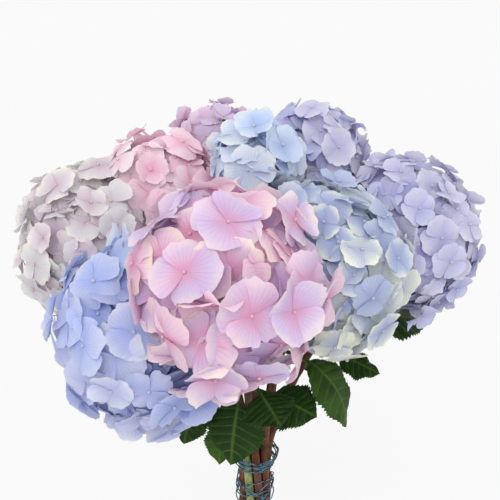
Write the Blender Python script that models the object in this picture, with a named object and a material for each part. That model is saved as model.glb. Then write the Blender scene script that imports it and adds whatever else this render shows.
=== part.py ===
"""Hydrangeas in a vase: nine mophead hydrangea stems, hand-tied with wire, in a plain ceramic vase.

Units are metres, +Z is up and the front faces -Y. The origin is the centre of the vase's foot.
The tie, where the wire pinches the stems, is the design's second reference point: every stem runs
through its own slot there, and every flower head is placed by its azimuth, lean and reach from it.
"""

import math
from dataclasses import dataclass

import bpy
import numpy as np

# ---------------------------------------------------------------- driving dimensions
CLEARANCE = 0.0004          # gap between pieces that touch
VASE_HEIGHT = 0.235
VASE_WALL = 0.007
VASE_FLOOR = 0.014          # thickness of the bottom
VASE_FOOT_RADIUS = 0.058
VASE_BELLY_RADIUS = 0.074
VASE_BELLY_LEVEL = 0.56     # height of the widest point, as a share of the vase's height
VASE_MOUTH_RADIUS = 0.054
VASE_EDGE_RADIUS = 0.003    # rounding at the foot
VASE_SEGMENTS = 32

TIE_ABOVE_RIM = 0.106       # the pinch in the bundle, above the vase's rim
STEM_RADIUS = 0.0040
STEM_SIDES = 8
STEM_SPIRAL = 0.08          # sideways lean of the hand-tied stems at the pinch, as a slope
STEM_FOOT_GAP = 0.003       # a stem's cut end above the vase's floor
STEM_STATIONS_BELOW = 7
STEM_STATIONS_ABOVE = 9
SLOT_TURN = math.radians(-35)   # azimuth of the first slot round the bundle

HEAD_RINGS = 13
HEAD_SPOKES = 18
UNDERSIDE = 0.60            # distance of a head's flat underside from its centre, as a share of its radius
LEAN_PIVOT = 0.070          # heads face away from this height above the tie

WIRE_RADIUS = 0.0006
WIRE_SIDES = 6
WIRE_POINTS_PER_TURN = 16
STEM_FAN = 2.2              # how fast the bundle widens above the tie, in metres at one metre up

LEAF_THICKNESS = 0.0012
LEAF_STATIONS = 12
LEAF_ACROSS = 5
LEAF_FOLD = 0.16            # how far a blade's edges droop below its midrib, as a share of its half width
HEAD_TO_LEAF = 0.003        # leaves hang at least this far below the heads
PETIOLE_RADIUS = 0.0018
PETIOLE_LENGTH = 0.022


@dataclass
class Head:
    """A flower head, placed from the tie. Azimuth is from +X towards +Y; lean is from vertical."""

    name: str
    azimuth: float
    lean: float
    reach: float
    radius: float


@dataclass
class Leaf:
    """A leaf on a stem. height is above the tie; pitch is the midrib's angle above the horizontal."""

    name: str
    stem: str
    height: float
    azimuth: float
    pitch_start: float
    pitch_end: float
    length: float
    width: float
    roll: float = 0.0


# Anticlockwise round the bundle from the front right, then the one in the middle.
HEADS = [
    Head("right_front", -22, 13.1, 0.238, 0.081),
    Head("right", 26, 34.0, 0.257, 0.077),
    Head("back_right", 65, 25.9, 0.297, 0.053),
    Head("back_left", 103, 28.6, 0.293, 0.053),
    Head("left_back", 141, 23.8, 0.268, 0.067),
    Head("left", 163, 32.8, 0.259, 0.078),
    Head("left_front", 218, 28.1, 0.232, 0.084),
    Head("front", 257, 20.8, 0.283, 0.084),
    Head("top", 91, 6.3, 0.308, 0.041),
]

LEAVES = [
    Leaf("leaf_front", "front", 0.136, 252, -40, -84, 0.056, 0.058),
    Leaf("leaf_front_middle", "front", 0.137, 302, -6, -30, 0.034, 0.052),
    Leaf("leaf_front_right", "front", 0.120, 330, 2, -14, 0.044, 0.052, 14),
    Leaf("leaf_right_front", "right_front", 0.142, 336, -2, -96, 0.076, 0.052),
    Leaf("leaf_right_low", "right", 0.120, 345, -6, -26, 0.040, 0.038),
    Leaf("leaf_right", "right", 0.146, 20, -6, -24, 0.078, 0.060),
    Leaf("leaf_back_right", "back_right", 0.140, 64, 4, -52, 0.104, 0.074),
    Leaf("leaf_back_right_low", "back_right", 0.098, 36, -14, -66, 0.082, 0.058),
    Leaf("leaf_back", "back_left", 0.122, 96, 0, -62, 0.100, 0.070),
    Leaf("leaf_back_left", "left_back", 0.138, 138, 2, -48, 0.104, 0.072),
    Leaf("leaf_back_left_low", "left_back", 0.092, 158, -16, -68, 0.080, 0.056),
    Leaf("leaf_left", "left", 0.128, 178, -2, -40, 0.092, 0.066),
    Leaf("leaf_left_front", "left_front", 0.130, 238, -34, -72, 0.038, 0.040),
    Leaf("leaf_left_low", "left_front", 0.096, 262, -45, -70, 0.034, 0.032),
]


# ---------------------------------------------------------------- vectors and meshes
def vec(x, y, z):
    """A point or direction as an array."""
    return np.array([x, y, z], float)


def unit(v):
    """v at length 1."""
    return v / np.linalg.norm(v)


def around(azimuth, radius, z=0.0):
    """The point at an azimuth in radians and a radius from the axis."""
    return vec(radius * math.cos(azimuth), radius * math.sin(azimuth), z)


def add_object(name, points, faces, colour, roughness):
    """Links a mesh object with its own material to the scene."""
    mesh = bpy.data.meshes.new(name)
    mesh.from_pydata([tuple(p) for p in points], [], faces)
    mesh.validate()
    mesh.shade_smooth()
    material = bpy.data.materials.new(name)
    material.use_nodes = True
    shader = material.node_tree.nodes["Principled BSDF"]
    shader.inputs["Base Color"].default_value = (*colour, 1.0)
    shader.inputs["Roughness"].default_value = roughness
    mesh.materials.append(material)
    made = bpy.data.objects.new(name, mesh)
    bpy.context.scene.collection.objects.link(made)
    return made


def loft(sections):
    """Faces of a tube whose sections all have the same number of points, closed by a fan at each end."""
    stations, around_count = len(sections), len(sections[0])
    points = [p for section in sections for p in section]
    faces = []
    for i in range(stations - 1):
        for j in range(around_count):
            k = (j + 1) % around_count
            here, above = i * around_count, (i + 1) * around_count
            faces.append((here + j, here + k, above + k, above + j))
    for i, order in ((0, -1), (stations - 1, 1)):
        rim = [i * around_count + j for j in range(around_count)]
        points.append(np.mean(sections[i], axis=0))
        centre = len(points) - 1
        for j in range(around_count):
            pair = (rim[j], rim[(j + 1) % around_count])
            faces.append((centre, *pair[::order]))
    return points, faces


def tube(path, radii, sides):
    """Sections of a round tube along a path, carried without twist."""
    path = np.array(path)
    tangents = np.gradient(path, axis=0)
    side = unit(np.cross(tangents[0], vec(0.3, 1.0, 0.2)))
    sections = []
    for point, tangent, radius in zip(path, tangents, radii):
        tangent = unit(tangent)
        side = unit(side - tangent * (side @ tangent))
        other = np.cross(tangent, side)
        angles = [2 * math.pi * k / sides for k in range(sides)]
        sections.append([point + radius * (math.cos(a) * side + math.sin(a) * other) for a in angles])
    return sections


# ---------------------------------------------------------------- the tie and the stems
TIE = vec(0, 0, VASE_HEIGHT + TIE_ABOVE_RIM)
OUTER_STEMS = len(HEADS) - 1    # the last head's stem stands in the middle
SLOT_RADIUS = (2 * STEM_RADIUS + 2 * CLEARANCE) / (2 * math.sin(math.pi / OUTER_STEMS))


def head_centre(head):
    """A head's centre, from the tie by azimuth, lean and reach."""
    lean = math.radians(head.lean)
    return TIE + around(math.radians(head.azimuth), head.reach * math.sin(lean), head.reach * math.cos(lean))


def head_axis(head):
    """The direction that a head faces, away from its stem."""
    return unit(head_centre(head) - TIE - vec(0, 0, LEAN_PIVOT))


def head_seat(head):
    """Where the stem's top meets the head's flat underside."""
    return head_centre(head) - head_axis(head) * (UNDERSIDE * head.radius + CLEARANCE)


def stem_path(index):
    """Centreline of one stem: a straight ruling of the hand-tied spiral, then a curve to its head."""
    head = HEADS[index]
    slot = 2 * math.pi * index / OUTER_STEMS + SLOT_TURN
    middle = index == OUTER_STEMS
    waist = TIE + around(slot, 0.0 if middle else SLOT_RADIUS)
    slope = 0.0 if middle else STEM_SPIRAL
    direction = vec(0, 0, 1) - around(slot + math.pi / 2, slope)
    depth = TIE[2] - VASE_FLOOR - STEM_FOOT_GAP
    below = [waist - direction * depth * (1 - k / STEM_STATIONS_BELOW) for k in range(STEM_STATIONS_BELOW)]
    seat, axis = head_seat(head), head_axis(head)
    pull = np.linalg.norm(seat - waist)
    above = []
    for k in range(STEM_STATIONS_ABOVE + 1):
        t = k / STEM_STATIONS_ABOVE
        start, end = 2 * t**3 - 3 * t**2 + 1, 3 * t**2 - 2 * t**3
        leave, arrive = t**3 - 2 * t**2 + t, t**3 - t**2
        above.append(start * waist + end * seat + leave * pull * direction + arrive * pull * axis)
    return np.array(below + above)


STEM_PATHS = {head.name: stem_path(index) for index, head in enumerate(HEADS)}


def make_stem(head):
    """One woody stem, from its cut end in the vase to the underside of its head."""
    path = STEM_PATHS[head.name]
    points, faces = loft(tube(path, [STEM_RADIUS] * len(path), STEM_SIDES))
    add_object(f"stem_{head.name}", points, faces, (0.17, 0.07, 0.03), 0.6)


# ---------------------------------------------------------------- flower heads
def head_planes(head):
    """Planes that press a head flat where it meets its neighbours and leave room for the other stems.

    Each plane is (unit normal, distance from the head's centre).
    """
    centre, planes = head_centre(head), []
    for other in HEADS:
        if other is head:
            continue
        across = head_centre(other) - centre
        span = np.linalg.norm(across)
        if span < head.radius + other.radius:
            share = (span**2 + head.radius**2 - other.radius**2) / (2 * span)
            planes.append((across / span, share - CLEARANCE))
        for point in dense(STEM_PATHS[other.name]):
            away = point - centre
            distance = np.linalg.norm(away)
            if distance < head.radius + 2 * STEM_RADIUS:
                planes.append((away / distance, distance - STEM_RADIUS - 2 * CLEARANCE))
    planes.append((-head_axis(head), UNDERSIDE * head.radius))
    return planes


def dense(path, between=4):
    """A path with more points on each of its straight runs."""
    steps = np.linspace(0, 1, between, endpoint=False)
    runs = [a + (b - a) * t for a, b in zip(path[:-1], path[1:]) for t in steps]
    return [*runs, path[-1]]


def make_head(head):
    """One head of florets as a plain closed dome: a ball pressed against its neighbours, flat underneath."""
    centre, axis = head_centre(head), head_axis(head)
    side = unit(np.cross(axis, vec(0.2, -1.0, 0.1)))
    other = np.cross(axis, side)
    planes = head_planes(head)

    def surface(direction):
        reach = head.radius
        for normal, distance in planes:
            facing = direction @ normal
            if facing > 1e-6:
                reach = min(reach, distance / facing)
        return centre + direction * reach

    points, faces = [surface(axis)], []
    for ring in range(1, HEAD_RINGS):
        polar = math.pi * ring / HEAD_RINGS
        for spoke in range(HEAD_SPOKES):
            turn = 2 * math.pi * spoke / HEAD_SPOKES
            outward = math.cos(turn) * side + math.sin(turn) * other
            points.append(surface(math.cos(polar) * axis + math.sin(polar) * outward))
    points.append(surface(-axis))
    last, bottom = len(points) - 1, (HEAD_RINGS - 2) * HEAD_SPOKES + 1
    for j in range(HEAD_SPOKES):
        k = (j + 1) % HEAD_SPOKES
        faces.append((0, 1 + j, 1 + k))
        faces.append((last, bottom + k, bottom + j))
        for ring in range(HEAD_RINGS - 2):
            here, below = 1 + ring * HEAD_SPOKES, 1 + (ring + 1) * HEAD_SPOKES
            faces.append((here + j, below + j, below + k, here + k))
    add_object(f"head_{head.name}", points, faces, (0.66, 0.60, 0.82), 0.7)


# ---------------------------------------------------------------- leaves
def leaf_base(leaf, direction):
    """Where the petiole's end clears its stem, when the petiole leaves in this direction."""
    path = STEM_PATHS[leaf.stem]
    height = TIE[2] + leaf.height
    above = next(i for i in range(1, len(path)) if path[i - 1][2] < height <= path[i][2])
    run = path[above] - path[above - 1]
    on_stem = path[above - 1] + run * (height - path[above - 1][2]) / run[2]
    along = unit(run)
    away = unit(direction - along * (direction @ along))
    end_reach = PETIOLE_RADIUS * math.sqrt(1 - (away @ direction) ** 2)
    return on_stem + away * (STEM_RADIUS + end_reach + 2 * CLEARANCE)


def half_width(share, width):
    """Half the blade's width at a share of its length: ovate, widest below the middle."""
    return 0.5 * width * math.sin(math.pi * share**0.72) ** 0.85


def below_heads(section):
    """A leaf's section, moved just enough to hang clear beneath every flower head."""
    section = np.array(section)
    for head in HEADS:
        centre, down = head_centre(head), -head_axis(head)
        offset = section - centre
        inside = np.linalg.norm(offset, axis=1) < head.radius + HEAD_TO_LEAF
        short = UNDERSIDE * head.radius + HEAD_TO_LEAF - offset @ down
        if inside.any():
            section = section + down * max(0.0, short[inside].max())
    return list(section)


def leaf_sections(leaf):
    """Cross-sections of a leaf, from the petiole at the stem to the tip of the blade."""
    azimuth, roll = math.radians(leaf.azimuth), math.radians(leaf.roll)
    outward, across = around(azimuth, 1.0), around(azimuth + math.pi / 2, 1.0)
    total = PETIOLE_LENGTH + leaf.length

    def heading(travelled):
        """The midrib's direction after this length: its pitch changes evenly from start to end."""
        pitch = math.radians(leaf.pitch_start + (leaf.pitch_end - leaf.pitch_start) * travelled / total)
        return outward * math.cos(pitch) + vec(0, 0, math.sin(pitch))

    blade = [0.03, *np.linspace(0.1, 0.97, LEAF_STATIONS - 4)]
    stops = [0.0, PETIOLE_LENGTH / 2, *(PETIOLE_LENGTH + leaf.length * share for share in (0.0, *blade))]
    point, reached, sections = leaf_base(leaf, heading(0)), 0.0, []
    for stop in stops:
        point = point + heading((reached + stop) / 2) * (stop - reached)
        reached = stop
        tangent = heading(stop)
        flat = np.cross(tangent, across)
        wide = across * math.cos(roll) + flat * math.sin(roll)
        up = np.cross(tangent, wide)
        share = max(0.0, (stop - PETIOLE_LENGTH) / leaf.length)
        half = max(PETIOLE_RADIUS, half_width(share, leaf.width))
        thick = LEAF_THICKNESS / 2 if share else PETIOLE_RADIUS
        under, over = [], []
        for k in range(LEAF_ACROSS):
            across_share = -1 + 2 * k / (LEAF_ACROSS - 1)
            fold = LEAF_FOLD * (half - PETIOLE_RADIUS) * abs(across_share)
            rim = thick * (1.0 - 0.6 * abs(across_share))
            spot = point + wide * half * across_share - up * fold
            under.append(spot - up * rim)
            over.append(spot + up * rim)
        sections.append(below_heads(under + over[::-1]))
    return sections


def make_leaf(leaf):
    """One leaf: petiole and blade are one piece, as they grew."""
    points, faces = loft(leaf_sections(leaf))
    add_object(leaf.name, points, faces, (0.03, 0.10, 0.02), 0.5)


# ---------------------------------------------------------------- binding wire
def fan_out(level):
    """How much further out the stems stand at a level above the tie, where they begin to part."""
    return 0.0 if level <= 0 else STEM_FAN * level**1.5


def wire_path(level_start, level_end, turns, wave, start):
    """A wire wound round the bundle from one level to another, wandering up and down by wave."""
    count = int(turns * WIRE_POINTS_PER_TURN)
    path = []
    for k in range(count + 1):
        t = k / count
        turn = start + 2 * math.pi * turns * t
        level = level_start + (level_end - level_start) * t + wave * math.sin(1.5 * turn)
        spread = math.hypot(SLOT_RADIUS, STEM_SPIRAL * level) + STEM_RADIUS
        radius = spread + 2 * CLEARANCE + WIRE_RADIUS + fan_out(level)
        path.append(TIE + around(turn, radius, level))
    return path


def make_wire(name, *route):
    """One length of binding wire."""
    path = wire_path(*route)
    points, faces = loft(tube(path, [WIRE_RADIUS] * len(path), WIRE_SIDES))
    add_object(name, points, faces, (0.05, 0.20, 0.30), 0.4)


# ---------------------------------------------------------------- vase
def vase_profile():
    """The vase's wall as an outline of (radius, height), from the foot up, over the lip and in."""
    belly = VASE_BELLY_LEVEL * VASE_HEIGHT

    def outer(z):
        """Radius of the outside: one smooth swell from the foot to the belly and in to the mouth."""
        if z < belly:
            low, share = VASE_FOOT_RADIUS, z / belly
        else:
            low, share = VASE_MOUTH_RADIUS, (VASE_HEIGHT - z) / (VASE_HEIGHT - belly)
        return low + (VASE_BELLY_RADIUS - low) * math.sin(share * math.pi / 2)

    levels = np.linspace(VASE_EDGE_RADIUS, VASE_HEIGHT - VASE_WALL / 2, 10)
    outside = [(outer(z), z) for z in levels]
    lip = [(VASE_MOUTH_RADIUS - VASE_WALL / 2 * (1 - math.cos(a)), VASE_HEIGHT - VASE_WALL / 2
            + VASE_WALL / 2 * math.sin(a)) for a in (math.pi / 4, math.pi / 2, 3 * math.pi / 4)]
    inside_levels = np.linspace(VASE_HEIGHT - VASE_WALL / 2, VASE_FLOOR + VASE_WALL, 8)
    inside = [(outer(z) - VASE_WALL, z) for z in inside_levels]
    floor_radius = outer(VASE_FLOOR) - VASE_WALL * 1.6
    return [(VASE_FOOT_RADIUS - VASE_EDGE_RADIUS, 0.0), *outside, *lip, *inside, (floor_radius, VASE_FLOOR)]


def make_vase():
    """A plain turned vase with a flat foot, open at the top."""
    profile = vase_profile()
    turns = [2 * math.pi * k / VASE_SEGMENTS for k in range(VASE_SEGMENTS)]
    sections = [[around(turn, radius, z) for turn in turns] for radius, z in profile]
    points, faces = loft(sections)
    add_object("vase", points, faces, (0.78, 0.76, 0.72), 0.35)


def main():
    """Clears the scene and builds every piece."""
    for old in list(bpy.data.objects):
        bpy.data.objects.remove(old)
    make_vase()
    for head in HEADS:
        make_stem(head)
        make_head(head)
    for leaf in LEAVES:
        make_leaf(leaf)
    make_wire("binding_wire_upper", 0.019, 0.003, 4, 0.0022, math.pi / 3)
    make_wire("binding_wire_lower", -0.014, -0.034, 3, 0.0060, math.pi)


main()
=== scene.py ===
"""Hydrangeas in a vase: how a wire-tied bunch of nine mophead hydrangeas looks, standing in a plain vase.

Units are metres, +Z is up and the front faces -Y. The tie, where the wire pinches the stems, is the
point from which every stem, head and leaf is placed, as in the solid model.
"""

import logging
import math
from collections.abc import Callable
from dataclasses import dataclass, field
from enum import Enum
from functools import partial

import bmesh
import bpy
import numpy as np
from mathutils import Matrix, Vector
from mathutils.bvhtree import BVHTree


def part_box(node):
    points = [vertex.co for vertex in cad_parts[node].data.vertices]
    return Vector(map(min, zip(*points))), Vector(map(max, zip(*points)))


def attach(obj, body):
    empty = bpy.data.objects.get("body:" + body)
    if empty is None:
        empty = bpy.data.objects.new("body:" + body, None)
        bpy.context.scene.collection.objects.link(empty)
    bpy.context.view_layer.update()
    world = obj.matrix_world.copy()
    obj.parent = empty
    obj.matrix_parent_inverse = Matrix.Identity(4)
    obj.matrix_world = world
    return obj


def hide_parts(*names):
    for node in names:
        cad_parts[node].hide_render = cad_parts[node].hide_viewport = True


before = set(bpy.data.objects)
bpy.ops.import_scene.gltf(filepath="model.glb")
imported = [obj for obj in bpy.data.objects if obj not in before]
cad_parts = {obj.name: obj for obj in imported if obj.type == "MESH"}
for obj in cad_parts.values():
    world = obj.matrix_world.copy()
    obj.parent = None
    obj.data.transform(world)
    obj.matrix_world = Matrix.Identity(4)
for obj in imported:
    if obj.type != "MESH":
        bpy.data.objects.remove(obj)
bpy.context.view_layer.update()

LOG = logging.getLogger("hydrangeas")
GOLDEN_TURN = math.pi * (3 - math.sqrt(5))
MM = 0.001
POINT = 1e-6  # a radius that closes a tube's end, and how near points are when they merge
SMOOTHLY = {"interpolation_type": "SMOOTHSTEP"}  # for a Map Range node
IN_COLOUR = {"data_type": "RGBA"}  # for a Mix node, whose result is then output 2

# ---------------------------------------------------------------- the design's places, as in the solid model
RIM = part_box("vase")[1][2]
TIE = np.array([0.0, 0.0, RIM + 0.106])
STEM_RADIUS = 0.0040
STEM_GAP = 0.0004
STEM_SPIRAL = 0.08
SLOT_TURN = math.radians(-35)
OUTER_STEMS = 8
SLOT_RADIUS = (2 * STEM_RADIUS + 2 * STEM_GAP) / (2 * math.sin(math.pi / OUTER_STEMS))
STEM_FOOT = 0.017
UNDERSIDE = 0.60
LEAN_PIVOT = 0.070
PETIOLE_LENGTH = 0.022


def linear(hex_colour: str) -> tuple[float, float, float, float]:
    """Turns an sRGB hex colour into the linear values that a shader takes.

    Args:
        hex_colour: Six hex digits with or without a leading hash.

    Returns:
        Red, green, blue and alpha, each 0 to 1.
    """
    digits = hex_colour.lstrip("#")
    srgb = [int(digits[i:i + 2], 16) / 255 for i in (0, 2, 4)]
    return (*(c / 12.92 if c <= 0.04045 else ((c + 0.055) / 1.055) ** 2.4 for c in srgb), 1.0)


def unit(vectors: np.ndarray) -> np.ndarray:
    """Vectors at length 1, along the last axis."""
    return vectors / np.linalg.norm(vectors, axis=-1, keepdims=True)


def around(azimuth: float, radius: float, height: float = 0.0) -> np.ndarray:
    """The point at an azimuth in radians, a radius from the axis and a height."""
    return np.array([radius * math.cos(azimuth), radius * math.sin(azimuth), height])


def smooth(edge_low: float, edge_high: float, x: np.ndarray) -> np.ndarray:
    """A smooth rise, three times the square of the share less twice its cube."""
    t = np.clip((x - edge_low) / (edge_high - edge_low), 0, 1)
    return t * t * (3 - 2 * t)


# ---------------------------------------------------------------- meshes from grids
@dataclass
class Surface:
    """Gathers grids of points into one mesh, each grid with its own cell of the texture sheet.

    A grid is (copies, rows, columns, 3). Rows and columns that meet are merged when the mesh is made, so a
    tube repeats its first column and a pole repeats one point along its row.
    """

    name: str
    margin: float = 0.04
    points: list[np.ndarray] = field(default_factory=list)
    faces: list[np.ndarray] = field(default_factory=list)
    sheets: list[np.ndarray] = field(default_factory=list)
    layers: dict[str, list[np.ndarray]] = field(default_factory=dict)
    cells: int = 0

    def add(self, grid: np.ndarray, flip: bool = False, **layers: np.ndarray) -> None:
        """Adds copies of a grid, each in its own cell of the texture sheet.

        Args:
            grid: Points, (copies, rows, columns, 3).
            flip: Whether to turn the faces round.
            **layers: Attributes for the material, each (copies, rows, columns, 3).
        """
        copies, rows, columns, _ = grid.shape
        start = sum(len(p) for p in self.points)
        index = start + np.arange(copies * rows * columns).reshape(copies, rows, columns)
        corners = [index[:, :-1, :-1], index[:, :-1, 1:], index[:, 1:, 1:], index[:, 1:, :-1]]
        row, column = np.meshgrid(np.arange(rows), np.arange(columns), indexing="ij")
        flat = np.stack([column / (columns - 1), row / (rows - 1)], -1)
        flat = [flat[:-1, :-1], flat[:-1, 1:], flat[1:, 1:], flat[1:, :-1]]
        if flip:
            corners, flat = corners[::-1], flat[::-1]
        faces = np.stack(corners, -1).reshape(-1, 4)
        sheet = np.broadcast_to(np.stack(flat, 2), (copies, rows - 1, columns - 1, 4, 2))
        cell = np.repeat(self.cells + np.arange(copies), (rows - 1) * (columns - 1))
        cell = np.broadcast_to(cell[:, None, None], (len(faces), 4, 1))
        self.cells += copies
        self.points.append(grid.reshape(-1, 3))
        self.faces.append(faces)
        self.sheets.append(np.concatenate([sheet.reshape(-1, 4, 2), cell], -1))
        for key, values in layers.items():
            full = np.broadcast_to(values, grid.shape).reshape(-1, 3)
            self.layers.setdefault(key, []).append(full)

    def piece(self, material: bpy.types.Material, slot: str, *nodes: str) -> None:
        """Makes the mesh and its object, riding on the one body, and hides the solid nodes that it stands
        for.

        Args:
            material: The piece's material.
            slot: The material slot's name; not used.
            *nodes: Solid nodes that this piece replaces.
        """
        mesh = bpy.data.meshes.new(self.name)
        mesh.from_pydata(np.concatenate(self.points), [], np.concatenate(self.faces))
        across = math.ceil(math.sqrt(self.cells))
        sheet = np.concatenate(self.sheets).reshape(-1, 3)
        corner = np.stack([sheet[:, 2] % across, sheet[:, 2] // across], -1)
        uv = (corner + self.margin + sheet[:, :2] * (1 - 2 * self.margin)) / across
        mesh.uv_layers.new(name="OFBake").uv.foreach_set("vector", uv.astype(np.float32).ravel())
        for key, values in self.layers.items():
            layer = mesh.attributes.new(key, "FLOAT_VECTOR", "POINT")
            layer.data.foreach_set("vector", np.concatenate(values).astype(np.float32).ravel())
        mesh.materials.append(material)
        shaped = bmesh.new()
        shaped.from_mesh(mesh)
        bmesh.ops.remove_doubles(shaped, verts=shaped.verts, dist=POINT)
        shaped.to_mesh(mesh)
        shaped.free()
        mesh.shade_smooth()
        made = bpy.data.objects.new(self.name, mesh)
        bpy.context.scene.collection.objects.link(made)
        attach(made, "root")
        if nodes:
            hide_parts(*nodes)
        LOG.info("%s: %d faces", self.name, len(mesh.polygons))


def bent_lines(start: np.ndarray, pull: np.ndarray, end: np.ndarray, rows: int) -> np.ndarray:
    """Curves that leave start towards pull and arrive at end: quadratic Bezier curves.

    Args:
        start: First points, (n, 3).
        pull: Control points, (n, 3).
        end: Last points, (n, 3).
        rows: Points on each curve.

    Returns:
        Points, (n, rows, 3).
    """
    t = np.linspace(0, 1, rows)[None, :, None]
    return (1 - t) ** 2 * start[:, None] + 2 * t * (1 - t) * pull[:, None] + t**2 * end[:, None]


def tubes(lines: np.ndarray, radii: np.ndarray, sides: int) -> np.ndarray:
    """Round tubes along curves: each ring is the radius times cosine and sine of two cross directions.

    Args:
        lines: Centrelines, (n, rows, 3).
        radii: Radius at each point, broadcast to (n, rows, sides + 1).
        sides: Sides of a ring.

    Returns:
        Grids, (n, rows, sides + 1, 3), whose first and last columns meet.
    """
    tangent = unit(np.gradient(lines, axis=1))
    steady = np.zeros_like(tangent)
    steady[..., 1] = 1.0
    sideways = np.abs(tangent[..., 1]) > 0.9
    steady[sideways] = (1.0, 0.0, 0.0)
    side = unit(np.cross(tangent, steady))
    other = np.cross(tangent, side)
    turn = np.linspace(0, 2 * math.pi, sides + 1)
    ring = side[:, :, None] * np.cos(turn)[:, None] + other[:, :, None] * np.sin(turn)[:, None]
    return lines[:, :, None] + ring * np.broadcast_to(radii, ring.shape[:3])[..., None]


def carried_tube(line: np.ndarray, radii: np.ndarray, sides: int) -> np.ndarray:
    """One tube whose cross directions are carried along its line without twist.

    Args:
        line: Centreline, (rows, 3).
        radii: Radius, broadcast to (rows, sides + 1).
        sides: Sides of a ring.

    Returns:
        A grid, (1, rows, sides + 1, 3).
    """
    tangent = unit(np.gradient(line, axis=0))
    side = unit(np.cross(tangent[0], (0.3, 1.0, 0.2)))
    carried = []
    for direction in tangent:
        side = unit(side - direction * (side @ direction))
        carried.append(side)
    across = np.array(carried)
    other = np.cross(tangent, across)
    turn = np.linspace(0, 2 * math.pi, sides + 1)
    ring = across[:, None] * np.cos(turn)[:, None] + other[:, None] * np.sin(turn)[:, None]
    return (line[:, None] + ring * np.broadcast_to(radii, ring.shape[:2])[..., None])[None]


# ---------------------------------------------------------------- materials
def add_node(tree: bpy.types.NodeTree, kind: str, inputs: dict | None = None, out: int | str = 0,
             **settings: object) -> bpy.types.NodeSocket | None:
    """Adds a shader node with its settings, and sets or links its inputs.

    Args:
        tree: The material's nodes.
        kind: Blender's name for the node, less its first word, ShaderNode.
        inputs: Socket name or number to a value, or to the output that feeds it.
        out: Which of the node's outputs the caller wants.
        **settings: Properties of the node.

    Returns:
        That output, or None from a node that has no outputs.
    """
    made = tree.nodes.new(f"ShaderNode{kind}")
    for key, value in settings.items():
        setattr(made, key, value)
    for key, value in (inputs or {}).items():
        if isinstance(value, bpy.types.NodeSocket):
            tree.links.new(value, made.inputs[key])
        else:
            made.inputs[key].default_value = value
    return made.outputs[out] if len(made.outputs) else None


def new_material(name: str) -> tuple[bpy.types.Material, Callable]:
    """Starts an empty material.

    Args:
        name: What the material is, in a maker's words.

    Returns:
        The material, and add_node tied to its nodes.
    """
    material = bpy.data.materials.new(name)
    material.use_nodes = True
    material.node_tree.nodes.clear()
    return material, partial(add_node, material.node_tree)


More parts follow.
